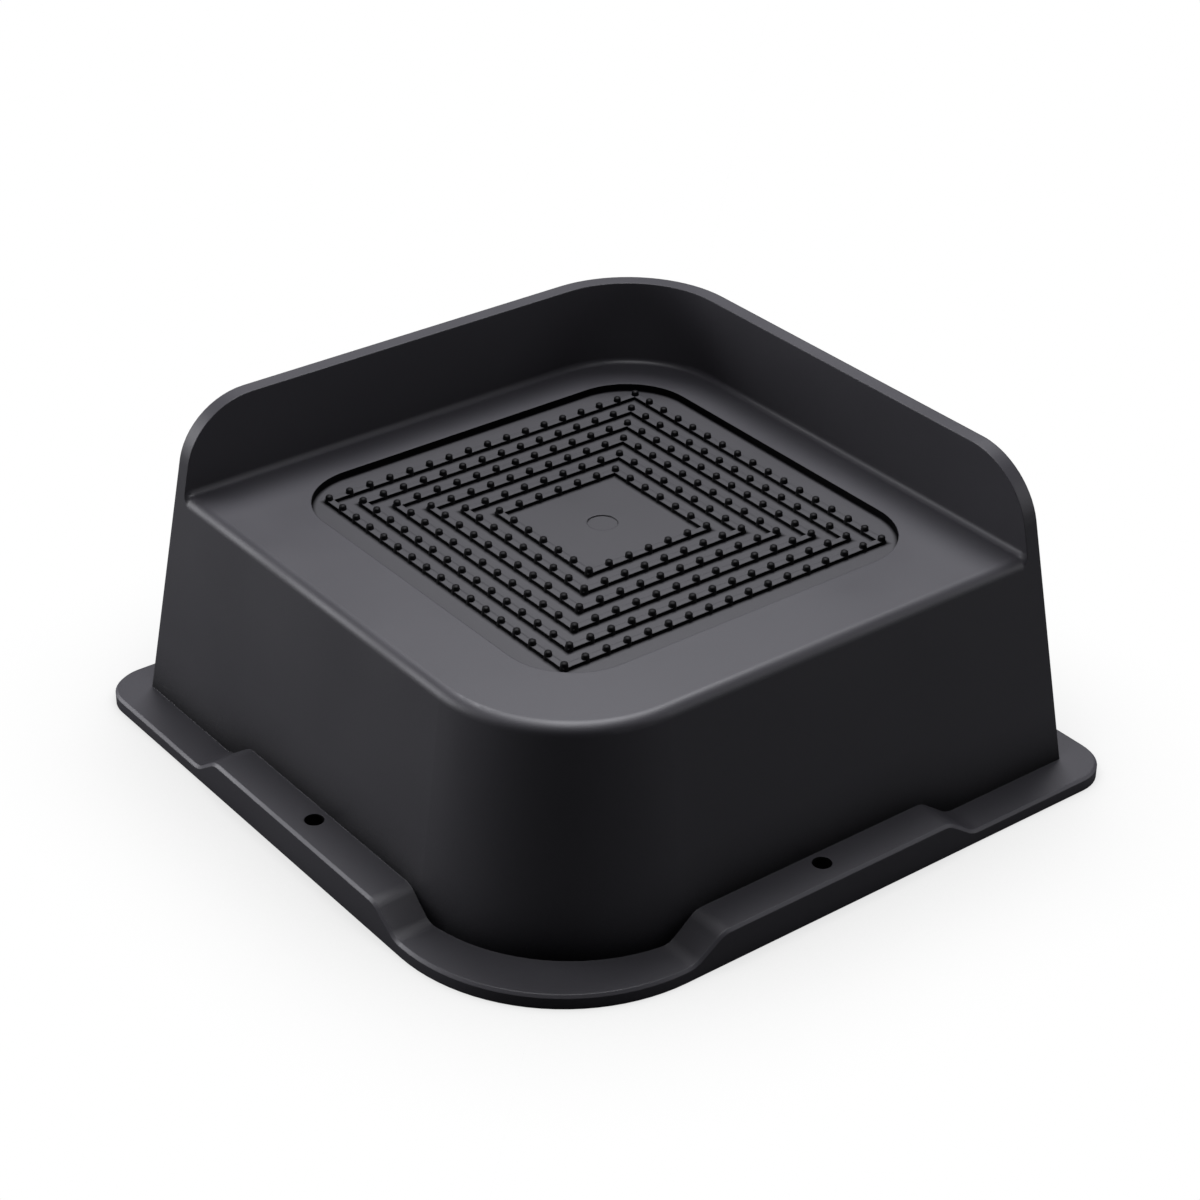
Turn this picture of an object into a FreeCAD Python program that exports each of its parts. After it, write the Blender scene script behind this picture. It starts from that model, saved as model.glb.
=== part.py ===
import FreeCAD, Part
import math
import os
import Sketcher

V = FreeCAD.Vector
START, END, CENTRE = 1, 2, 3
ORIGIN, X_AXIS, Y_AXIS = (-1, 1), -1, -2
NEAR = 0.01
UPRIGHT, UPWARD = 0.25, 0.35
LEAN_IN = False

# Driving sizes in millimetres. Slopes are the inward run of a side for each millimetre of height.
SIZES = {
    "platform_span": 124.6,
    "platform_height": 51.5,
    "side_slope": 0.1225,
    "near_radius": 36.2,
    "far_radius": 34.0,
    "wall_rise": 20.5,
    "wall_thick": 3.35,
    "wall_end_radius": 15.0,
    "wall_foot_round": 1.2,
    "platform_edge_round": 2.4,
    "flange_width": 7.79125,
    "flange_thick": 3.0,
    "flange_big_radius": 38.4,
    "flange_small_radius": 9.0,
    "flange_edge_bevel": 0.6,
    "raised_height": 4.8,
    "step_run": 10.0,
    "step_round": 5.0,
    "step_margin": 0.5,
    "skirt_thick": 2.8,
    "screw_hole_dia": 4.0,
    "screw_offset": 2.19125,
    "recess_span": 93.6,
    "recess_radius": 15.0,
    "recess_depth": 1.6,
    "recess_shift": 1.8,
    "ridge_pitch": 5.0,
    "ridge_width": 1.4,
    "ridge_height": 0.7,
    "gate_dia": 6.3,
    "gate_depth": 0.3,
    "shell_thick": 3.3,
    "deck_thick": 4.4,
    "rib_thick": 2.2,
    "rib_pitch": 17.0,
    "rib_foot_height": 11.5,
    "stack_clearance": 1.6,
}
# Sizes that follow from the driving ones: the flange and its screw holes go round the body's foot, and the
# raised length with its ramps ends short of the big corner rounds.
TIED_SIZES = {
    "flange_span": "=platform_span + 2 * (side_slope * platform_height + flange_width)",
    "screw_circle_dia": "=platform_span + 2 * (side_slope * platform_height + screw_offset)",
    "raised_length": "=flange_span - 2 * (flange_big_radius + step_margin + step_run)",
}
INNER_RING, OUTER_RING = 3, 8
SIDES = 4


def make_sheet():
    """Put every size in a sheet under its own alias."""
    sheet = doc.addObject("Spreadsheet::Sheet", "sizes")
    for row, (alias, content) in enumerate({**SIZES, **TIED_SIZES}.items(), start=1):
        sheet.set("A%d" % row, alias)
        sheet.set("B%d" % row, str(content))
        sheet.setAlias("B%d" % row, alias)
    doc.recompute()
    return sheet


doc = FreeCAD.newDocument("bed_riser")
sizes = make_sheet()


def named(alias):
    return "sizes." + alias


def value(expression):
    """Number that an expression over the sheet has now."""
    return float(sizes.evalExpression(expression))


WALL_TOP = "(sizes.platform_height + sizes.wall_rise)"
RAISED_TOP = "(sizes.flange_thick + sizes.raised_height)"
DECK_UNDER = "(sizes.platform_height - sizes.deck_thick)"
RECESS_FLOOR = "(sizes.platform_height - sizes.recess_depth)"
FLANGE_HALF = "(sizes.flange_span / 2)"


def half_at(height):
    """Half of the body's width at a height."""
    return "(sizes.platform_span / 2 + sizes.side_slope * (sizes.platform_height - %s))" % height


def radius_at(corner, height):
    """Radius of the near or far corner at a height; the draft makes both corners cones."""
    return "(%s - sizes.side_slope * %s)" % (named(corner + "_radius"), height)


def origin_feature(body, role):
    return next(item for item in body.Origin.OriginFeatures if item.Role == role)


def new_sketch(body, name, height=None, shift=None, role="XY_Plane"):
    """Sketch on one of the body's own planes, raised and shifted by expressions."""
    sketch = body.newObject("Sketcher::SketchObject", name)
    sketch.AttachmentSupport = [(origin_feature(body, role), "")]
    sketch.MapMode = "FlatFace"
    if height:
        sketch.setExpression("AttachmentOffset.Base.z", height)
    if shift:
        sketch.setExpression("AttachmentOffset.Base.x", shift[0])
        sketch.setExpression("AttachmentOffset.Base.y", shift[1])
    return sketch


def line(sketch, start, end):
    return sketch.addGeometry(Part.LineSegment(V(*start, 0), V(*end, 0)))


def arc(sketch, centre, radius, first, last):
    """Anticlockwise arc; angles in degrees."""
    whole = Part.Circle(V(*centre, 0), V(0, 0, 1), radius)
    return sketch.addGeometry(Part.ArcOfCircle(whole, math.radians(first), math.radians(last)))


def tie(sketch, kind, *where):
    sketch.addConstraint(Sketcher.Constraint(kind, *where))


def bind(sketch, kind, where, expression):
    """Add a dimension and tie it to the sheet."""
    index = sketch.addConstraint(Sketcher.Constraint(kind, *where, value(expression)))
    name = "size_%d" % index
    sketch.renameConstraint(index, name)
    sketch.setExpression("Constraints." + name, expression)


def rounded_square(sketch, low, high, radii):
    """Square from -low to +high both ways; radii go anticlockwise from the (-, -) corner, None is sharp."""
    down, up = -value(low), value(high)
    near, right, far, left = (value(radius) if radius else 0 for radius in radii)
    sides = [
        line(sketch, (down + near, down), (up - right, down)),
        line(sketch, (up, down + right), (up, up - far)),
        line(sketch, (up - far, up), (down + left, up)),
        line(sketch, (down, up - left), (down, down + near)),
    ]
    middles = [
        (down + near, down + near),
        (up - right, down + right),
        (up - far, up - far),
        (down + left, up - left),
    ]
    for index, radius in enumerate(radii):
        before, after = sides[index - 1], sides[index]
        if radius is None:
            tie(sketch, "Coincident", before, END, after, START)
            continue
        first = 180 + 90 * index
        corner = arc(sketch, middles[index], value(radius), first, first + 90)
        tie(sketch, "Tangent", before, END, corner, START)
        tie(sketch, "Tangent", corner, END, after, START)
        bind(sketch, "Radius", (corner,), radius)
    for index in (0, 2):
        tie(sketch, "Horizontal", sides[index])
        tie(sketch, "Vertical", sides[index + 1])
    bind(sketch, "DistanceY", (sides[0], START, *ORIGIN), low)
    bind(sketch, "DistanceX", (*ORIGIN, sides[1], START), high)
    bind(sketch, "DistanceY", (*ORIGIN, sides[2], START), high)
    bind(sketch, "DistanceX", (sides[3], START, *ORIGIN), low)


def left_rectangle(sketch, outer, inner, half_length):
    """Rectangle to the left of the origin, from -outer to -inner, and half_length above and below."""
    west, east, reach = -value(outer), -value(inner), value(half_length)
    points = [(west, -reach), (east, -reach), (east, reach), (west, reach)]
    sides = [line(sketch, points[index - 1], points[index]) for index in range(SIDES)]
    for index, side in enumerate(sides):
        tie(sketch, "Coincident", sides[index - 1], END, side, START)
    for index in (0, 2):
        tie(sketch, "Vertical", sides[index])
        tie(sketch, "Horizontal", sides[index + 1])
    bind(sketch, "DistanceX", (sides[0], START, *ORIGIN), outer)
    bind(sketch, "DistanceY", (sides[1], START, *ORIGIN), half_length)
    bind(sketch, "DistanceX", (sides[2], START, *ORIGIN), inner)
    bind(sketch, "DistanceY", (*ORIGIN, sides[3], START), half_length)


def round_hole(sketch, left, dia):
    """Circle on the sketch's X axis, at a distance to the left of its origin or on it."""
    place = value(left) if left else 0
    index = sketch.addGeometry(Part.Circle(V(-place, 0, 0), V(0, 0, 1), value(dia) / 2))
    tie(sketch, "PointOnObject", index, CENTRE, X_AXIS)
    if left:
        bind(sketch, "DistanceX", (index, CENTRE, *ORIGIN), left)
    else:
        tie(sketch, "PointOnObject", index, CENTRE, Y_AXIS)
    bind(sketch, "Diameter", (index,), dia)


def pad(body, name, sketch, length):
    feature = body.newObject("PartDesign::Pad", name)
    feature.Profile = sketch
    feature.setExpression("Length", length)
    doc.recompute()
    return feature


def drafted(body, name, sketch, length):
    """Pad whose sides all lean in from its foot by the slope of the mould."""
    block = pad(body, name, sketch, length)
    leans = [steepness(face) for face in block.Shape.Faces]
    sides = ["Face%d" % index for index, lean in enumerate(leans, start=1) if abs(lean) < NEAR]
    foot = "Face%d" % (leans.index(min(leans)) + 1)
    draft = body.newObject("PartDesign::Draft", name + "_draft")
    draft.Base = (block, sides)
    draft.NeutralPlane = (block, [foot])
    draft.setExpression("Angle", "atan(sizes.side_slope)")
    draft.Reversed = LEAN_IN
    doc.recompute()
    return draft


def combine(name, kind, tool):
    """Join another body to the riser, or cut it away."""
    feature = riser.newObject("PartDesign::Boolean", name)
    feature.Type = kind
    feature.setObjects([tool])
    doc.recompute()
    return feature


def pocket(body, name, sketch, length, upward=False):
    """Cut below the sketch, or above it; the volume has to go down."""
    before = body.Shape.Volume
    feature = body.newObject("PartDesign::Pocket", name)
    feature.Profile = sketch
    feature.Reversed = upward
    feature.setExpression("Length", length)
    doc.recompute()
    if body.Shape.Volume >= before:
        raise RuntimeError(name + " cuts nothing")
    return feature


def four_sides(body, name, feature):
    """Repeat a feature on all four sides of the riser."""
    pattern = body.newObject("PartDesign::PolarPattern", name)
    pattern.Originals = [feature]
    pattern.Axis = (origin_feature(body, "Z_Axis"), [""])
    pattern.Angle = 360
    pattern.Occurrences = SIDES
    body.Tip = pattern
    doc.recompute()
    return pattern


def row(body, name, sketch, axis, pitches, pitch):
    """Step of a grid: copies along one axis of the sketch."""
    step = body.newObject("PartDesign::LinearPattern", name)
    step.Direction = (sketch, [axis])
    step.setExpression("Length", "%d * %s" % (pitches, pitch))
    step.Occurrences = pitches + 1
    return step


def quarter_turns(body, name, axis):
    """Step of a grid: four turns about an axis."""
    step = body.newObject("PartDesign::PolarPattern", name)
    step.Axis = axis
    step.Angle = 360
    step.Occurrences = SIDES
    return step


def grid(body, name, feature, steps):
    whole = body.newObject("PartDesign::MultiTransform", name)
    whole.Refine = False
    whole.Originals = [feature]
    whole.Transformations = steps
    body.Tip = whole
    doc.recompute()
    return whole


def steepness(face):
    """Vertical part of a face's normal at its middle: 1 faces up, 0 is upright, -1 faces down."""
    low_u, high_u, low_v, high_v = face.ParameterRange
    return face.normalAt((low_u + high_u) / 2, (low_v + high_v) / 2).z


def between(edge, low, high):
    box = edge.BoundBox
    return box.ZMin > low - NEAR and box.ZMax < high + NEAR


def edges_where(feature, wanted):
    """Names of the edges for which wanted(edge, flatter face, steeper face) holds."""
    shape = feature.Shape
    names = []
    for index, edge in enumerate(shape.Edges, start=1):
        faces = sorted(steepness(face) for face in shape.ancestorsOfType(edge, Part.Face))
        if len(faces) == 2 and wanted(edge, *faces):
            names.append("Edge%d" % index)
    return names


def fillet(body, name, base, radius, wanted):
    names = edges_where(base, wanted)
    if not names:
        raise RuntimeError(name + " finds no edge")
    feature = body.newObject("PartDesign::Fillet", name)
    feature.Base = (base, names)
    feature.setExpression("Radius", radius)
    doc.recompute()
    return feature


def body_outline(body, name, height, inset):
    """Outline of the drafted body, or of a form inside it: round near and far corners, crisp side ones."""
    sketch = new_sketch(body, name, height=height)
    half = "(%s - %s)" % (half_at(height), inset)
    near = "(%s - %s)" % (radius_at("near", height), inset)
    far = "(%s - %s)" % (radius_at("far", height), inset)
    rounded_square(sketch, half, half, [near, None, far, None])
    return sketch


def make_outer_form():
    """Drafted block as high as the corner wall, cut down to the platform inside that wall."""
    drafted(riser, "block", body_outline(riser, "block_outline", "0", "0"), WALL_TOP)
    deck = named("platform_height")
    sketch = new_sketch(seat, "seat_outline", height=deck)
    inner = "(%s - sizes.wall_thick)" % half_at(deck)
    corner = "(%s - sizes.wall_thick)" % radius_at("far", deck)
    rounded_square(sketch, named("flange_span"), inner, [None, None, corner, None])
    drafted(seat, "seat_block", sketch, "sizes.wall_rise + sizes.wall_thick")
    return combine("leg_seat", "Cut", seat)


def round_wall(base):
    """Big rounds on the wall's free ends, then small ones on the platform's open edge and the wall's foot."""
    top, deck = value(WALL_TOP), value("sizes.platform_height")
    short = 2 * value("sizes.wall_thick")
    ends = fillet(riser, "wall_end_rounds", base, named("wall_end_radius"),
                  lambda edge, low, high: between(edge, top, top) and edge.Length < short)
    lip = fillet(riser, "platform_edge_rounds", ends, named("platform_edge_round"),
                 lambda edge, low, high: between(edge, deck, deck) and 0 < low < UPRIGHT)
    return fillet(riser, "wall_foot_rounds", lip, named("wall_foot_round"),
                  lambda edge, low, high: between(edge, deck, deck) and low < 0)


def flange_outline():
    sketch = new_sketch(riser, "flange_outline")
    big, small = named("flange_big_radius"), named("flange_small_radius")
    rounded_square(sketch, FLANGE_HALF, FLANGE_HALF, [big, small, big, small])
    return sketch


def raised_profile():
    """Side view of the flange along one side: low ends, rounded ramps and the raised middle."""
    sketch = new_sketch(riser, "raised_profile", height="-" + FLANGE_HALF, role="YZ_Plane")
    half = "(sizes.raised_length / 2)"
    step = "(sizes.raised_length / 2 + sizes.step_run)"
    end = "(sizes.raised_length / 2 + sizes.step_run + sizes.step_margin / 2)"
    low = named("flange_thick")
    y_half, y_step, y_end, z_low, z_top = (value(item) for item in (half, step, end, low, RAISED_TOP))
    radius, run = value(named("step_round")), y_step - y_half
    drop = 2 * radius - (z_top - z_low)
    turn = math.asin(2 * radius / math.hypot(run, drop)) - math.atan2(drop, run)
    lean = math.degrees(turn)
    over, up = radius * math.sin(turn), radius * (1 - math.cos(turn))
    floor = line(sketch, (-y_end, 0), (y_end, 0))
    right_end = line(sketch, (y_end, 0), (y_end, z_low))
    right_low = line(sketch, (y_end, z_low), (y_step, z_low))
    right_foot = arc(sketch, (y_step, z_low + radius), radius, 270 - lean, 270)
    right_ramp = line(sketch, (y_step - over, z_low + up), (y_half + over, z_top - up))
    right_crest = arc(sketch, (y_half, z_top - radius), radius, 90 - lean, 90)
    top = line(sketch, (y_half, z_top), (-y_half, z_top))
    left_crest = arc(sketch, (-y_half, z_top - radius), radius, 90, 90 + lean)
    left_ramp = line(sketch, (-y_half - over, z_top - up), (over - y_step, z_low + up))
    left_foot = arc(sketch, (-y_step, z_low + radius), radius, 270, 270 + lean)
    left_low = line(sketch, (-y_step, z_low), (-y_end, z_low))
    left_end = line(sketch, (-y_end, z_low), (-y_end, 0))
    corners = [(floor, right_end), (right_end, right_low), (left_low, left_end), (left_end, floor)]
    for first, second in corners:
        tie(sketch, "Coincident", first, END, second, START)
    tie(sketch, "Tangent", right_low, END, right_foot, END)
    tie(sketch, "Tangent", right_foot, START, right_ramp, START)
    tie(sketch, "Tangent", right_ramp, END, right_crest, START)
    tie(sketch, "Tangent", right_crest, END, top, START)
    tie(sketch, "Tangent", top, END, left_crest, START)
    tie(sketch, "Tangent", left_crest, END, left_ramp, START)
    tie(sketch, "Tangent", left_ramp, END, left_foot, END)
    tie(sketch, "Tangent", left_foot, START, left_low, START)
    for level in (right_low, top, left_low):
        tie(sketch, "Horizontal", level)
    for upright in (right_end, left_end):
        tie(sketch, "Vertical", upright)
    tie(sketch, "PointOnObject", floor, START, X_AXIS)
    tie(sketch, "PointOnObject", floor, END, X_AXIS)
    tie(sketch, "Equal", right_foot, right_crest)
    tie(sketch, "Equal", left_foot, left_crest)
    bind(sketch, "Radius", (right_foot,), named("step_round"))
    bind(sketch, "Radius", (left_foot,), named("step_round"))
    bind(sketch, "DistanceX", (*ORIGIN, floor, END), end)
    bind(sketch, "DistanceX", (floor, START, *ORIGIN), end)
    bind(sketch, "DistanceX", (*ORIGIN, right_low, END), step)
    bind(sketch, "DistanceX", (left_low, START, *ORIGIN), step)
    bind(sketch, "DistanceX", (*ORIGIN, top, START), half)
    bind(sketch, "DistanceX", (top, END, *ORIGIN), half)
    bind(sketch, "DistanceY", (*ORIGIN, top, START), RAISED_TOP)
    bind(sketch, "DistanceY", (*ORIGIN, right_low, START), low)
    bind(sketch, "DistanceY", (*ORIGIN, left_low, START), low)
    return sketch


def make_flange():
    """Thin flange round the foot, with a raised length in the middle of each side, its top edge eased."""
    pad(riser, "flange", flange_outline(), named("flange_thick"))
    inside = "(%s - sizes.skirt_thick / 2)" % half_at(RAISED_TOP)
    raised = pad(riser, "raised_length", raised_profile(), "%s - %s" % (FLANGE_HALF, inside))
    sides = four_sides(riser, "raised_lengths", raised)
    low, top = value("sizes.flange_thick"), value(RAISED_TOP)
    bevel = riser.newObject("PartDesign::Chamfer", "flange_edge_bevels")
    bevel.Base = (sides, edges_where(sides, lambda edge, flat, steep: between(edge, low, top)
                                     and steep > UPWARD and abs(flat) < NEAR))
    bevel.setExpression("Size", named("flange_edge_bevel"))
    doc.recompute()


def make_hollow():
    """Drafted hollow under the deck, one wall thickness inside the outer form."""
    outline = body_outline(hollow, "hollow_outline", "0", named("shell_thick"))
    drafted(hollow, "hollow_block", outline, DECK_UNDER)
    combine("hollowed", "Cut", hollow)


def corner_band(sketch, inner, radius, outer):
    """L-shaped band along the +X and +Y sides, with a rounded inner corner."""
    near, bend, far = value(inner), value(radius), value(outer)
    points = [
        (near - bend, near),
        (-far, near),
        (-far, far),
        (far, far),
        (far, -far),
        (near, -far),
        (near, near - bend),
    ]
    sides = [line(sketch, points[index], points[index + 1]) for index in range(len(points) - 1)]
    corner = arc(sketch, (near - bend, near - bend), bend, 0, 90)
    for index, side in enumerate(sides[1:]):
        tie(sketch, "Coincident", sides[index], END, side, START)
    tie(sketch, "Tangent", sides[-1], END, corner, START)
    tie(sketch, "Tangent", corner, END, sides[0], START)
    for index in (0, 2, 4):
        tie(sketch, "Horizontal", sides[index])
        tie(sketch, "Vertical", sides[index + 1])
    bind(sketch, "Radius", (corner,), radius)
    bind(sketch, "DistanceY", (*ORIGIN, sides[0], START), inner)
    bind(sketch, "DistanceX", (*ORIGIN, sides[-1], END), inner)
    bind(sketch, "DistanceX", (sides[1], START, *ORIGIN), outer)
    bind(sketch, "DistanceY", (*ORIGIN, sides[2], START), outer)
    bind(sketch, "DistanceX", (*ORIGIN, sides[3], START), outer)
    bind(sketch, "DistanceY", (sides[4], START, *ORIGIN), outer)


def make_ribs():
    """Grid of ribs from the deck down to where a second riser's platform meets them, clear of its wall."""
    foot = named("rib_foot_height")
    inset = "sizes.shell_thick / 2"
    top = "(sizes.platform_height - sizes.deck_thick / 2)"
    drafted(ribs, "rib_block", body_outline(ribs, "rib_outline", foot, inset), "%s - %s" % (top, foot))
    each_way = math.ceil((value(half_at(foot)) + value("sizes.rib_thick")) / value("sizes.rib_pitch"))
    cell = new_sketch(ribs, "rib_cell", height=foot, shift=["sizes.rib_pitch / 2"] * 2)
    half_cell = "((sizes.rib_pitch - sizes.rib_thick) / 2)"
    rounded_square(cell, half_cell, half_cell, [None] * SIDES)
    first = pocket(ribs, "rib_gap", cell, "%s - %s" % (top, foot), upward=True)
    grid(ribs, "rib_gaps", first, [
        row(ribs, "rib_gaps_across", cell, "H_Axis", each_way - 1, named("rib_pitch")),
        row(ribs, "rib_gaps_along", cell, "V_Axis", each_way - 1, named("rib_pitch")),
        quarter_turns(ribs, "rib_gaps_round", (origin_feature(ribs, "Z_Axis"), [""])),
    ])
    band = new_sketch(ribs, "stack_clearance_outline", height=foot)
    gap = "(sizes.wall_thick + sizes.stack_clearance)"
    inner = "(%s - %s)" % (half_at(WALL_TOP), gap)
    corner_band(band, inner, "(%s - %s)" % (radius_at("far", WALL_TOP), gap), FLANGE_HALF)
    pocket(ribs, "stack_clearance_cut", band, "sizes.wall_rise + sizes.stack_clearance", upward=True)
    combine("joined_ribs", "Fuse", ribs)


def make_pad_recess():
    """Shallow recess with nested square ridges and a round gate mark in the middle."""
    deck, shift = named("platform_height"), [named("recess_shift")] * 2
    outline = new_sketch(riser, "recess_outline", height=deck, shift=shift)
    half, corner = "(sizes.recess_span / 2)", named("recess_radius")
    rounded_square(outline, half, half, [corner] * SIDES)
    pocket(riser, "pad_recess", outline, named("recess_depth"))
    mark = new_sketch(riser, "gate_outline", height=RECESS_FLOOR, shift=shift)
    round_hole(mark, None, named("gate_dia"))
    pocket(riser, "gate_mark", mark, named("gate_depth"))
    squares = new_sketch(riser, "ridge_outlines", height=RECESS_FLOOR, shift=shift)
    for ring in range(INNER_RING, OUTER_RING + 1):
        for side in "-+":
            reach_out = "(%d * sizes.ridge_pitch %s sizes.ridge_width / 2)" % (ring, side)
            rounded_square(squares, reach_out, reach_out, [None] * SIDES)
    pad(riser, "ridges", squares, named("ridge_height"))


def make_screw_seats():
    """Underside of each raised length hollowed to a skirt, and a screw hole down through its top."""
    slot = new_sketch(riser, "slot_outline")
    left_rectangle(slot, "(%s - sizes.skirt_thick)" % FLANGE_HALF, half_at("0"),
                   "(sizes.raised_length / 2 - sizes.skirt_thick)")
    four_sides(riser, "slots", pocket(riser, "slot", slot, named("raised_height"), upward=True))
    hole = new_sketch(riser, "screw_hole_outline", height=RAISED_TOP)
    round_hole(hole, "sizes.screw_circle_dia / 2", named("screw_hole_dia"))
    four_sides(riser, "screw_holes", pocket(riser, "screw_hole", hole, RAISED_TOP))


def check_and_export():
    """Every object has to be sound before the part is written out."""
    for item in doc.Objects:
        if "Invalid" in item.State or "Error" in item.State:
            raise RuntimeError(item.Name + " did not compute")
    shape = riser.Shape
    if shape.isNull() or not shape.isValid() or len(shape.Solids) != 1:
        raise RuntimeError("bed_riser is not one sound solid")
    os.makedirs("parts", exist_ok=True)
    shape.exportStep("parts/%s.step" % riser.Label)
    print("bed_riser volume %.0f mm3, box %s" % (shape.Volume, shape.BoundBox))


riser = doc.addObject("PartDesign::Body", "bed_riser")
riser.Label = "bed_riser"
seat = doc.addObject("PartDesign::Body", "seat_space")
hollow = doc.addObject("PartDesign::Body", "hollow_space")
ribs = doc.addObject("PartDesign::Body", "rib_grid")
round_wall(make_outer_form())
make_flange()
make_hollow()
make_ribs()
make_screw_seats()
make_pad_recess()
check_and_export()
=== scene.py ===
# %% [markdown]
# # Bed riser
# A bed riser is a hollow block that lifts the leg of a bed or sofa off the floor. This one is a single
# injection moulding in black plastic, most likely polypropylene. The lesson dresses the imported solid: it
# smooths the shading, adds the small nubs of the grip pattern, builds the plastic's grain out of shader
# nodes, and lights the riser the way a shop photo does.

# %% Load the frame
import bpy
import math
from mathutils import Matrix, Vector


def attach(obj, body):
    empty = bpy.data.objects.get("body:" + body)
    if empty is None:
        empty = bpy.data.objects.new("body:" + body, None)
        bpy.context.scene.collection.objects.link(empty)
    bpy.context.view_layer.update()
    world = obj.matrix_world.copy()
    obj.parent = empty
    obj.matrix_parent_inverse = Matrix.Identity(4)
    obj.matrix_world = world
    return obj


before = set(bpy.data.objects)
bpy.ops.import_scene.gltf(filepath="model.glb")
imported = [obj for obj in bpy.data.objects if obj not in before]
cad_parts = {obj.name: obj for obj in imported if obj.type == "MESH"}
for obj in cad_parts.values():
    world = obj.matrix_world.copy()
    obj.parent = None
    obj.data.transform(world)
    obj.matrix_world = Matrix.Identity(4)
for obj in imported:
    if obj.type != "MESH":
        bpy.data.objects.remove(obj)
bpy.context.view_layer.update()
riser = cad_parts["bed_riser"]
scene = bpy.context.scene
print("riser triangles", len(riser.data.polygons))

# %% [markdown]
# ## Smooth shading
# On the real moulding the rounds flow into the flats without a line, and only a few corners are crisp. The
# solid comes as triangles, so each edge that turns less than a set angle is shaded smooth and the rest stay
# sharp. The vertices stay where they are.

# %% Smooth shading
CRISP_ANGLE = math.radians(28)
mesh = riser.data
mesh.shade_smooth()
mesh.set_sharp_from_angle(angle=CRISP_ANGLE)
print("sharp edges", sum(1 for edge in mesh.edges if edge.use_edge_sharp), "of", len(mesh.edges))

# %% [markdown]
# ## Round nubs
# The recess holds six square ridges, and on every five-millimetre step of each ridge stands a small nub that
# grips the foot of the leg. A mould can make such a nub with a drilled hole, and the plastic then comes out
# as a round peg with a domed tip. The solid has the ridges but not the nubs, which are fine texture, so they
# are made here: each is turned like a chess pawn from one short profile, stands on the floor of the recess
# and grows through its ridge. All of them go into one mesh.

# %% Round nubs
PITCH = 0.005
CENTRE = Vector((0.0018, 0.0018))
RECESS_FLOOR = 0.0499
INNER_RING, OUTER_RING = 3, 8
FOOT_RADIUS, SIDE_RADIUS = 0.00092, 0.00074
SHOULDER_HEIGHT, DOME = 0.00138, 0.00034
DOME_TURNS = (0, 20, 40, 60, 78)
STEPS_ROUND = 20


def nub_profile():
    """Radius and height of a round peg with a domed tip, from its foot to just below the top."""
    points = [(FOOT_RADIUS, 0.0)]
    for turn in DOME_TURNS:
        angle = math.radians(turn)
        points.append((SIDE_RADIUS * math.cos(angle), SHOULDER_HEIGHT + DOME * math.sin(angle)))
    return points


def nub_places():
    """Grid points whose larger step count lies on one of the square ridges."""
    span = range(-OUTER_RING, OUTER_RING + 1)
    return [(i, j) for i in span for j in span if max(abs(i), abs(j)) >= INNER_RING]


def nub_mesh():
    """All nubs in one mesh, each a turned profile closed by a point at its top."""
    profile, places = nub_profile(), nub_places()
    verts, faces = [], []
    for i, j in places:
        x, y = CENTRE.x + i * PITCH, CENTRE.y + j * PITCH
        first = len(verts)
        for radius, height in profile:
            for step in range(STEPS_ROUND):
                turn = 2 * math.pi * step / STEPS_ROUND
                verts.append((x + radius * math.cos(turn), y + radius * math.sin(turn), RECESS_FLOOR + height))
        verts.append((x, y, RECESS_FLOOR + SHOULDER_HEIGHT + DOME))
        for ring in range(len(profile) - 1):
            for step in range(STEPS_ROUND):
                after = (step + 1) % STEPS_ROUND
                low, high = first + ring * STEPS_ROUND, first + (ring + 1) * STEPS_ROUND
                faces.append((low + step, low + after, high + after, high + step))
        last, top = first + (len(profile) - 1) * STEPS_ROUND, len(verts) - 1
        faces.extend((last + step, last + (step + 1) % STEPS_ROUND, top) for step in range(STEPS_ROUND))
    made = bpy.data.meshes.new("tread_nubs")
    made.from_pydata(verts, [], faces)
    made.shade_smooth()
    return made


nubs = bpy.data.objects.new("tread_nubs", nub_mesh())
scene.collection.objects.link(nubs)
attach(nubs, "root")
print("nubs", len(nub_places()), "faces", len(nubs.data.polygons))

# %% [markdown]
# ## Shader helpers
# The finishes below are chains of small shader nodes. These functions add a node, open a group, and do sums
# on the values that run between nodes, so that each later cell reads as a short recipe.

# %% Shader helpers


def new_group(name, inputs, outputs):
    """Shader node group with named sockets; returns the tree and its two end nodes."""
    tree = bpy.data.node_groups.new(name, "ShaderNodeTree")
    for label, kind, default in inputs:
        socket = tree.interface.new_socket(name=label, in_out="INPUT", socket_type=kind)
        socket.default_value = default
    for label, kind in outputs:
        tree.interface.new_socket(name=label, in_out="OUTPUT", socket_type=kind)
    return tree, tree.nodes.new("NodeGroupInput"), tree.nodes.new("NodeGroupOutput")


def node(tree, kind, inputs=(), **settings):
    """Add a node; inputs holds socket values by name or number, other keywords are its properties."""
    made = tree.nodes.new(kind)
    for key, setting in settings.items():
        setattr(made, key, setting)
    for label, number in dict(inputs).items():
        made.inputs[label].default_value = number
    return made


def maths(tree, kind, source, number):
    """One maths operation between a value and a number; a comparison gives one or zero."""
    made = node(tree, "ShaderNodeMath", {1: number}, operation=kind)
    tree.links.new(source, made.inputs[0])
    return made.outputs["Value"]


def combine(tree, kind, sources):
    """Fold several values into one by a maths operation."""
    result = sources[0]
    for source in sources[1:]:
        made = node(tree, "ShaderNodeMath", operation=kind)
        tree.links.new(result, made.inputs[0])
        tree.links.new(source, made.inputs[1])
        result = made.outputs["Value"]
    return result


def fade(tree, source, start, end, first, last):
    """Smooth change from the first value to the last as the source goes from start to end."""
    limits = {"From Min": start, "From Max": end, "To Min": first, "To Max": last}
    made = node(tree, "ShaderNodeMapRange", limits, interpolation_type="SMOOTHSTEP")
    tree.links.new(source, made.inputs["Value"])
    return made.outputs["Result"]


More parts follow.
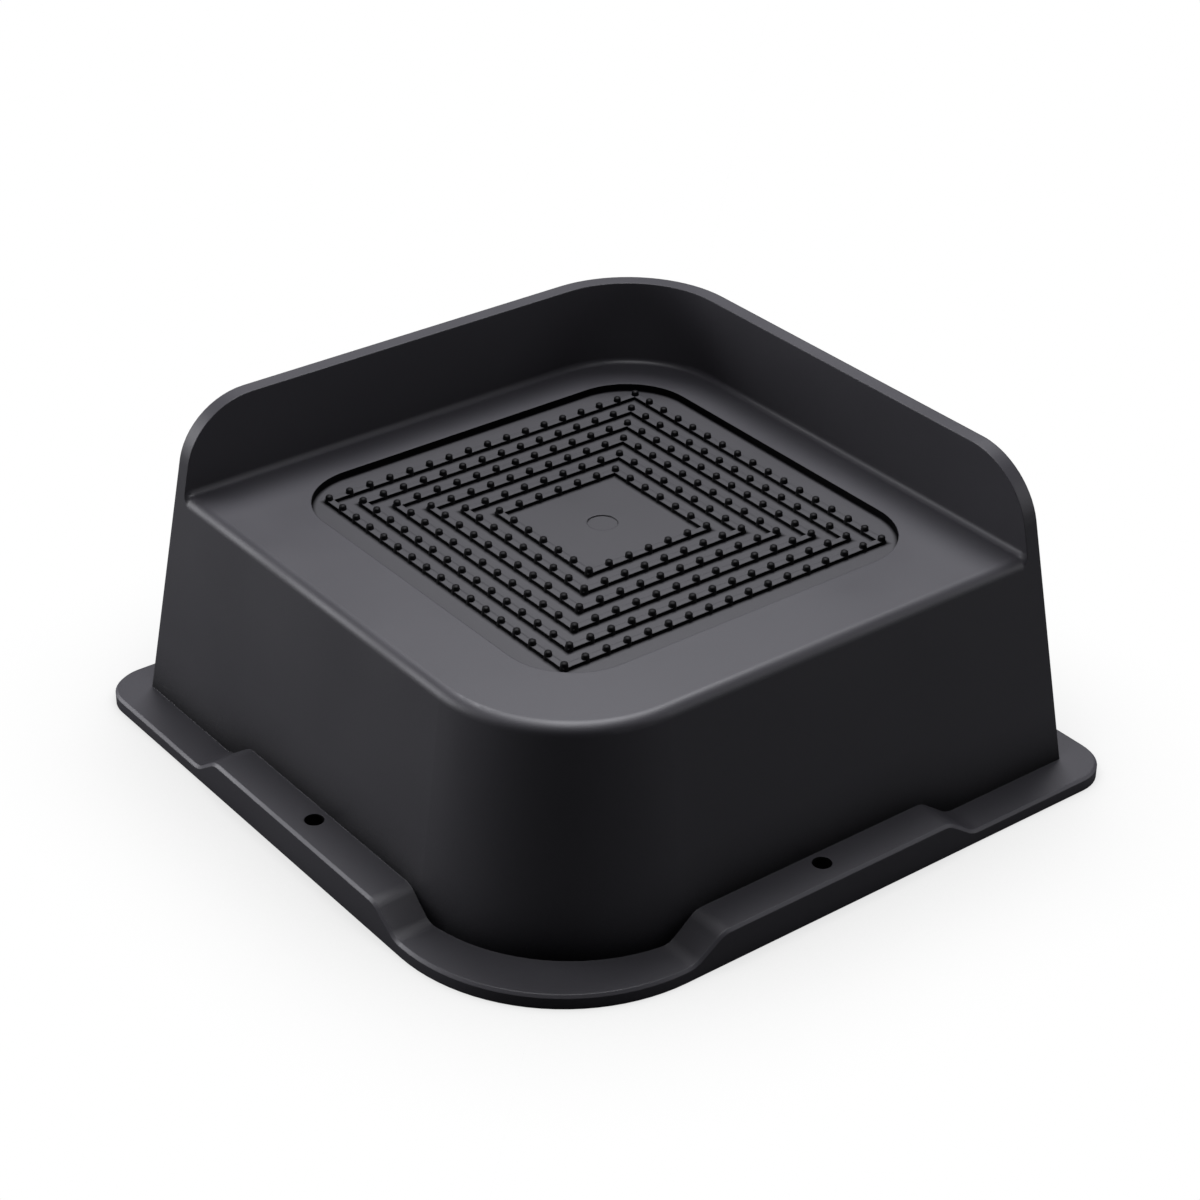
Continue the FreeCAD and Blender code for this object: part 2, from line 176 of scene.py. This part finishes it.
def scaled(tree, colour, factor):
    """A colour times a value."""
    made = node(tree, "ShaderNodeVectorMath", operation="SCALE")
    tree.links.new(colour, made.inputs["Vector"])
    tree.links.new(factor, made.inputs["Scale"])
    return made.outputs["Vector"]


def source_of(socket):
    """The output that feeds a linked socket."""
    return socket.links[0].from_socket


print("shader helpers ready")

# %% [markdown]
# ## Grain of the mould
# Moulds for such parts are often spark-eroded, which leaves a fine, even grain that hides flow marks and
# scuffs. The grain is under half a millimetre, so it shows only as a soft sheen. The body and the nubs share
# it, so the effect is one node group with its strength as an input. A second, slower wave stands for the
# slight sink of a flat plastic wall, and the group also softens the crisp edges of the solid.

# %% Grain of the mould
GRAIN_SCALE, GRAIN_DEPTH = 2600, 0.00006
SINK_SCALE, SINK_DEPTH, SINK_STRENGTH = 34, 0.0012, 0.06
ROUGHNESS_SWING = 0.05
EDGE_SAMPLES = 4


def make_grain():
    """Normal with grain, sink and soft edges, and a small change of roughness."""
    tree, source, sink = new_group(
        "moulded_grain",
        [("Grain", "NodeSocketFloat", 1.0), ("Edge Radius", "NodeSocketFloat", 0.0004)],
        [("Normal", "NodeSocketVector"), ("Roughness Shift", "NodeSocketFloat"), ("Cloud", "NodeSocketFloat")],
    )
    link = tree.links.new
    place = node(tree, "ShaderNodeTexCoord")
    fine = node(tree, "ShaderNodeTexNoise", {"Scale": GRAIN_SCALE, "Detail": 3, "Roughness": 0.6})
    slow = node(tree, "ShaderNodeTexNoise", {"Scale": SINK_SCALE, "Detail": 2})
    for texture in (fine, slow):
        link(place.outputs["Object"], texture.inputs["Vector"])
    edge = node(tree, "ShaderNodeBevel", samples=EDGE_SAMPLES)
    link(source.outputs["Edge Radius"], edge.inputs["Radius"])
    sink_wave = node(tree, "ShaderNodeBump", {"Strength": SINK_STRENGTH, "Distance": SINK_DEPTH})
    link(slow.outputs["Fac"], sink_wave.inputs["Height"])
    link(edge.outputs["Normal"], sink_wave.inputs["Normal"])
    grain = node(tree, "ShaderNodeBump", {"Distance": GRAIN_DEPTH})
    link(source.outputs["Grain"], grain.inputs["Strength"])
    link(fine.outputs["Fac"], grain.inputs["Height"])
    link(sink_wave.outputs["Normal"], grain.inputs["Normal"])
    swing = {"From Min": 0.3, "From Max": 0.7, "To Min": -ROUGHNESS_SWING, "To Max": ROUGHNESS_SWING}
    shift = node(tree, "ShaderNodeMapRange", swing)
    link(slow.outputs["Fac"], shift.inputs["Value"])
    link(grain.outputs["Normal"], sink.inputs["Normal"])
    link(shift.outputs["Result"], sink.inputs["Roughness Shift"])
    link(slow.outputs["Fac"], sink.inputs["Cloud"])
    return tree


grain_group = make_grain()
print("grain group nodes", len(grain_group.nodes))

# %% [markdown]
# ## Black polypropylene
# The plastic is dyed right through with carbon black, which leaves a very dark grey with a hint of blue. Nearly
# all that the eye sees is the soft reflection on its skin, so the colour stays close to black and the
# roughness does the work. In the photo the nubs are darker still. They are the same plastic, but small and
# steep and catch little light, so shade is painted into their material: a darker colour and a weaker
# reflection.

# %% Black polypropylene
PLASTIC_IOR = 1.49
SPECULAR, NUB_SPECULAR = 0.5, 0.12
BODY_SHADES = ((0.0320, 0.0310, 0.0358), (0.0372, 0.0360, 0.0417))
# painted shade: darker tones for the nubs, which are the same plastic as the body
NUB_SHADES = ((0.0022, 0.0021, 0.0025), (0.0030, 0.0029, 0.0034))


def skin_of(material):
    return material.node_tree.nodes["Principled BSDF"]


def make_plastic(name, shades, roughness, grain_strength, edge_radius):
    """Moulded black plastic; shades are the darker and the paler tone of the dye."""
    material = bpy.data.materials.new(name)
    material.use_nodes = True
    tree, skin = material.node_tree, skin_of(material)
    link = tree.links.new
    skin.inputs["IOR"].default_value = PLASTIC_IOR
    strengths = {"Grain": grain_strength, "Edge Radius": edge_radius}
    grain = node(tree, "ShaderNodeGroup", strengths, node_tree=grain_group)
    tones = {"A": (*shades[0], 1), "B": (*shades[1], 1)}
    dye = node(tree, "ShaderNodeMix", tones, data_type="RGBA")
    link(grain.outputs["Cloud"], dye.inputs["Factor"])
    link(dye.outputs["Result"], skin.inputs["Base Color"])
    link(maths(tree, "ADD", grain.outputs["Roughness Shift"], roughness), skin.inputs["Roughness"])
    link(grain.outputs["Normal"], skin.inputs["Normal"])
    return material


body_plastic = make_plastic(
    "body_plastic", BODY_SHADES, roughness=0.50, grain_strength=0.35, edge_radius=0.00035)
nub_plastic_painted_dark = make_plastic(
    "nub_plastic_painted_dark", NUB_SHADES, roughness=0.55, grain_strength=0.12, edge_radius=0.00008)
# painted shade: a weaker reflection for the nubs than for the body
skin_of(nub_plastic_painted_dark).inputs["Specular IOR Level"].default_value = NUB_SPECULAR
riser.data.materials.clear()
riser.data.materials.append(body_plastic)
nubs.data.materials.append(nub_plastic_painted_dark)
print("materials", [material.name for material in bpy.data.materials])

# %% [markdown]
# ## Painted shade in the creases of the recess
# In the photo dark creases run along the feet of the ridges and along the side of the recess, where a narrow
# corner lets little light out. This shade is painted: it follows the form, so it is worked out from place
# alone. A mask finds the recess, and the distances from the ridges and from the rounded-square side set
# the painted crease shade.

# %% Creases of the recess
RECESS_HALF = 0.0469
RECESS_LOW, RECESS_HIGH = 0.0495, 0.05145
RECESS_SIDE, RECESS_ROUND = 0.0468, 0.0150
RIDGE_HALF, RIDGE_RISE = 0.0007, 0.00062
# width and depth of the painted crease shade
CREASE_WIDTH, CREASE_SHADE = 0.0011, 0.08


def recess_place(tree):
    """Steps away from the middle of the recess: the vector and its three parts."""
    place = node(tree, "ShaderNodeTexCoord")
    shift = node(tree, "ShaderNodeVectorMath", {1: (CENTRE.x, CENTRE.y, 0)}, operation="SUBTRACT")
    tree.links.new(place.outputs["Object"], shift.inputs[0])
    away = node(tree, "ShaderNodeVectorMath", operation="ABSOLUTE")
    tree.links.new(shift.outputs["Vector"], away.inputs[0])
    axes = node(tree, "ShaderNodeSeparateXYZ")
    tree.links.new(away.outputs["Vector"], axes.inputs["Vector"])
    return away.outputs["Vector"], axes.outputs


def recess_mask(tree, axes):
    """One inside the recess of the platform, zero elsewhere."""
    return combine(tree, "MULTIPLY", [
        maths(tree, "LESS_THAN", axes["X"], RECESS_HALF),
        maths(tree, "LESS_THAN", axes["Y"], RECESS_HALF),
        maths(tree, "LESS_THAN", axes["Z"], RECESS_HIGH),
        maths(tree, "GREATER_THAN", axes["Z"], RECESS_LOW),
    ])


def ridge_shade(tree, axes):
    """Painted shade: low in the crease at a ridge's foot, one on the open floor and on the ridges' tops."""
    ring = combine(tree, "MAXIMUM", [axes["X"], axes["Y"]])
    nearest = maths(tree, "PINGPONG", ring, PITCH / 2)
    reach = RIDGE_HALF + CREASE_WIDTH
    return combine(tree, "MAXIMUM", [
        fade(tree, nearest, RIDGE_HALF, reach, CREASE_SHADE, 1.0),
        maths(tree, "GREATER_THAN", ring, OUTER_RING * PITCH + reach),
        maths(tree, "LESS_THAN", ring, INNER_RING * PITCH - reach),
        maths(tree, "GREATER_THAN", axes["Z"], RECESS_FLOOR + RIDGE_RISE),
    ])


def edge_shade(tree, away):
    """Painted shade: low along the rounded-square side of the recess, one away from it."""
    straight = RECESS_SIDE - RECESS_ROUND
    past = node(tree, "ShaderNodeVectorMath", {1: (straight, straight, 1)}, operation="SUBTRACT")
    tree.links.new(away, past.inputs[0])
    corner = node(tree, "ShaderNodeVectorMath", operation="MAXIMUM")
    tree.links.new(past.outputs["Vector"], corner.inputs[0])
    reach = node(tree, "ShaderNodeVectorMath", operation="LENGTH")
    tree.links.new(corner.outputs["Vector"], reach.inputs[0])
    return fade(tree, reach.outputs["Value"], RECESS_ROUND - CREASE_WIDTH, RECESS_ROUND, 1.0, CREASE_SHADE)


print("ridges", OUTER_RING - INNER_RING + 1, "crease width in mm", CREASE_WIDTH * 1000)

# %% [markdown]
# ## Dull recess and painted crease shade
# The floor of the recess looks darker and duller than the platform round it. It is the same plastic, so it
# stays in the same material: inside the mask the colour is a shade deeper and the skin a little rougher, and
# the painted shade of the creases takes away both colour and shine.

# %% Dull recess and painted crease shade
RECESS_SHADE, RECESS_ROUGHER = 0.72, 0.06


def dull_recess_and_paint_creases(material):
    """Darken and roughen the skin in the recess, and paint shade into the colour and shine of its creases."""
    tree, skin = material.node_tree, skin_of(material)
    link = tree.links.new
    away, axes = recess_place(tree)
    inside = recess_mask(tree, axes)
    # light is the painted shade of the creases, taken from both the shine and the colour below
    light = combine(tree, "MULTIPLY", [ridge_shade(tree, axes), edge_shade(tree, away)])
    gloss = node(tree, "ShaderNodeMix", {"A": SPECULAR}, data_type="FLOAT")
    link(inside, gloss.inputs["Factor"])
    link(maths(tree, "MULTIPLY", light, SPECULAR), gloss.inputs["B"])
    link(gloss.outputs["Result"], skin.inputs["Specular IOR Level"])
    colour, rough = source_of(skin.inputs["Base Color"]), source_of(skin.inputs["Roughness"])
    dye = node(tree, "ShaderNodeMix", data_type="RGBA")
    link(inside, dye.inputs["Factor"])
    link(colour, dye.inputs["A"])
    link(scaled(tree, colour, maths(tree, "MULTIPLY", light, RECESS_SHADE)), dye.inputs["B"])
    link(dye.outputs["Result"], skin.inputs["Base Color"])
    duller = maths(tree, "MULTIPLY", inside, RECESS_ROUGHER)
    link(combine(tree, "ADD", [duller, rough]), skin.inputs["Roughness"])


dull_recess_and_paint_creases(body_plastic)
print("body plastic nodes with the recess", len(body_plastic.node_tree.nodes))

# %% [markdown]
# ## Foot and edge of the flange
# In the photo a thin pale line runs along the flange's outer edge, and the sides sink into shade just above
# the flange. Both are painted into the colour and the shine: the line is a painted highlight on the small bevel
# of the edge, and the shade is painted where the flange closes in the foot of the side. The bevel is found by
# its tilt and the foot by how closed in it is, so both follow the raised lengths and their ramps.

# %% Foot and edge of the flange
FLANGE_TOP, FOOT_TOP = 0.0095, 0.040
BEVEL_TILT_LOW, BEVEL_TILT_HIGH, SIDE_TILT = 0.50, 0.74, 0.30
# strength of the painted highlight on the flange's edge bevel
PAINTED_HIGHLIGHT_GAIN = 0.4
# reach and depth of the painted shade at the foot of the sides
FOOT_REACH, FOOT_SHADE = 0.014, 0.15
FOOT_SAMPLES = 8


def painted_bevel_highlight(tree, height, tilt):
    """Painted highlight: more than one on the flange's edge bevel, one elsewhere."""
    on_bevel = combine(tree, "MULTIPLY", [
        maths(tree, "LESS_THAN", height, FLANGE_TOP),
        maths(tree, "GREATER_THAN", tilt, BEVEL_TILT_LOW),
        maths(tree, "LESS_THAN", tilt, BEVEL_TILT_HIGH),
    ])
    return fade(tree, on_bevel, 0.0, 1.0, 1.0, 1.0 + PAINTED_HIGHLIGHT_GAIN)


def painted_foot_shade(tree, height, tilt):
    """Painted shade: low where a side meets the flange, one elsewhere."""
    reach = {"Distance": FOOT_REACH}
    closed = node(tree, "ShaderNodeAmbientOcclusion", reach, samples=FOOT_SAMPLES, only_local=True)
    return combine(tree, "MAXIMUM", [
        fade(tree, closed.outputs["AO"], 0.5, 1.0, FOOT_SHADE, 1.0),
        maths(tree, "GREATER_THAN", height, FOOT_TOP),
        maths(tree, "GREATER_THAN", tilt, SIDE_TILT),
    ])


def paint_flange_highlight_and_shade(material):
    """Paint a highlight on the flange's bevel and paint shade at the foot of the sides, in colour and shine."""
    tree, skin = material.node_tree, skin_of(material)
    link = tree.links.new
    place = node(tree, "ShaderNodeSeparateXYZ")
    link(node(tree, "ShaderNodeTexCoord").outputs["Object"], place.inputs["Vector"])
    facing = node(tree, "ShaderNodeSeparateXYZ")
    link(node(tree, "ShaderNodeNewGeometry").outputs["True Normal"], facing.inputs["Vector"])
    height, tilt = place.outputs["Z"], facing.outputs["Z"]
    # light is the painted shade at the foot times the painted highlight on the bevel
    light = combine(tree, "MULTIPLY", [painted_foot_shade(tree, height, tilt), painted_bevel_highlight(tree, height, tilt)])
    colour, shine = source_of(skin.inputs["Base Color"]), source_of(skin.inputs["Specular IOR Level"])
    link(scaled(tree, colour, light), skin.inputs["Base Color"])
    link(combine(tree, "MULTIPLY", [shine, light]), skin.inputs["Specular IOR Level"])


paint_flange_highlight_and_shade(body_plastic)
print("body plastic nodes with the flange", len(body_plastic.node_tree.nodes))

# %% [markdown]
# ## White floor
# Shop photos of black plastic put the object on white and keep white card away from its sides, or the black
# would turn grey. So the floor is white to the camera, with a painted contact shadow round the foot, and dark
# to every other ray, which keeps the sides as deep as in the photo.

# %% White floor
FLOOR_HALF, FLOOR_LEVEL = 6.0, -0.00005
CONTACT_REACH, CONTACT_SHADE, CONTACT_SAMPLES = 0.05, 0.55, 12
FLOOR_UNSEEN = (0.10, 0.10, 0.105, 1)


def make_floor():
    """One large square just below the riser."""
    corners = [(x * FLOOR_HALF, y * FLOOR_HALF, FLOOR_LEVEL) for x, y in ((-1, -1), (1, -1), (1, 1), (-1, 1))]
    made = bpy.data.meshes.new("floor")
    made.from_pydata(corners, [], [(0, 1, 2, 3)])
    floor = bpy.data.objects.new("floor", made)
    scene.collection.objects.link(floor)
    return floor


def make_floor_material():
    """White with a painted contact shadow to the camera, dark grey to other rays."""
    material = bpy.data.materials.new("floor_white")
    material.use_nodes = True
    tree = material.node_tree
    link = tree.links.new
    tree.nodes.remove(tree.nodes["Principled BSDF"])
    output = tree.nodes["Material Output"]
    # painted contact shadow: the floor's glow is dimmed near the riser
    contact = node(tree, "ShaderNodeAmbientOcclusion", {"Distance": CONTACT_REACH}, samples=CONTACT_SAMPLES)
    limits = {"From Min": 0.1, "From Max": 0.95, "To Min": CONTACT_SHADE, "To Max": 1.0}
    shade = node(tree, "ShaderNodeMapRange", limits)
    link(contact.outputs["AO"], shade.inputs["Value"])
    seen = node(tree, "ShaderNodeEmission")
    link(shade.outputs["Result"], seen.inputs["Strength"])
    unseen = node(tree, "ShaderNodeBsdfDiffuse", {"Color": FLOOR_UNSEEN})
    path = node(tree, "ShaderNodeLightPath")
    choose = node(tree, "ShaderNodeMixShader")
    link(path.outputs["Is Camera Ray"], choose.inputs["Fac"])
    link(unseen.outputs["BSDF"], choose.inputs[1])
    link(seen.outputs["Emission"], choose.inputs[2])
    link(choose.outputs["Shader"], output.inputs["Surface"])
    return material


floor = make_floor()
floor.data.materials.append(make_floor_material())
print("floor half side", FLOOR_HALF, "level", FLOOR_LEVEL)

# %% [markdown]
# ## White surround
# The paper behind the riser is white too. It is treated like the floor: white where the camera looks at it,
# and nearly black to the plastic, so that only the lamps show in its sheen.

# %% White surround
SURROUND_UNSEEN, SURROUND_SEEN = (0.001, 0.001, 0.0011, 1), (1, 1, 1, 1)


def make_world():
    """White to the camera, and nearly black to everything else."""
    world = bpy.data.worlds.new("studio")
    scene.world = world
    world.use_nodes = True
    tree = world.node_tree
    link = tree.links.new
    path = node(tree, "ShaderNodeLightPath")
    tone = node(tree, "ShaderNodeMix", data_type="RGBA")
    tone.inputs["A"].default_value = SURROUND_UNSEEN
    tone.inputs["B"].default_value = SURROUND_SEEN
    link(path.outputs["Is Camera Ray"], tone.inputs["Factor"])
    link(tone.outputs["Result"], tree.nodes["Background"].inputs["Color"])
    return world


print("world", make_world().name)

# %% [markdown]
# ## Light
# Black plastic shows its lamps, so five soft ones are placed where the photo's sheen asks for them. The key
# and the wide overhead box hang above and a little behind: they give the platform its pale sheen, while the
# wall shades the strip at its own foot. A small box over the platform reaches the wall's inner faces without
# touching the outer ones. A card on the left lifts the left side, and a weaker one keeps the right side from
# going black. The powers come from a fit: each lamp was rendered alone, and their sum was matched to the
# photo's tones.

# %% Light
MIDDLE = (0.0, 0.0, 0.05)
INNER_CORNER = (0.05, 0.05, 0.065)
COOL = (1.0, 1.0, 1.045)


def softbox(name, place, target, side, power):
    """Square area lamp at a place, turned to a target."""
    data = bpy.data.lights.new(name, "AREA")
    data.shape = "RECTANGLE"
    data.size, data.size_y = side, side
    data.energy = power
    data.color = COOL
    light = bpy.data.objects.new(name, data)
    light.location = place
    light.rotation_euler = (Vector(target) - Vector(place)).to_track_quat("-Z", "Y").to_euler()
    scene.collection.objects.link(light)


softbox("key", (0.20, 0.22, 0.75), MIDDLE, side=0.28, power=5.4)
softbox("overhead", (0.10, 0.14, 0.75), MIDDLE, side=0.45, power=2.3)
softbox("wall_fill", (-0.06, -0.06, 0.30), INNER_CORNER, side=0.06, power=0.27)
softbox("left_card", (-0.64, 0.66, 0.28), MIDDLE, side=0.5, power=5.6)
softbox("right_card", (0.66, -0.64, 0.28), MIDDLE, side=0.5, power=1.55)

# %% [markdown]
# ## Camera
# The camera stands where the photo's did: the edges of the platform, wall and flange in the photo were fitted
# with one camera, and its place and roll are kept. Only the aim and the lens change, so that the single
# riser fills the picture.

# %% Camera
CAMERA_PLACE = Vector((-0.3117, -0.3981, 0.3364))
CAMERA_AIM = Vector((0.0, 0.0, 0.033))
CAMERA_ROLL = math.radians(0.761)
LENS, SENSOR = 86.0, 36
CLIP_NEAR, CLIP_FAR = 0.01, 50


def make_camera():
    """Camera at the photo's place, aimed at the riser."""
    data = bpy.data.cameras.new("camera")
    data.sensor_width = SENSOR
    data.lens = LENS
    data.clip_start, data.clip_end = CLIP_NEAR, CLIP_FAR
    data.dof.use_dof = False
    camera = bpy.data.objects.new("camera", data)
    turn = (CAMERA_AIM - CAMERA_PLACE).to_track_quat("-Z", "Y").to_matrix()
    turn = turn @ Matrix.Rotation(CAMERA_ROLL, 3, "Z")
    camera.matrix_world = Matrix.Translation(CAMERA_PLACE) @ turn.to_4x4()
    scene.collection.objects.link(camera)
    scene.camera = camera
    return camera


camera = make_camera()
scene.view_settings.view_transform = "Standard"
print("camera", tuple(round(v, 4) for v in camera.location), "lens", camera.data.lens)
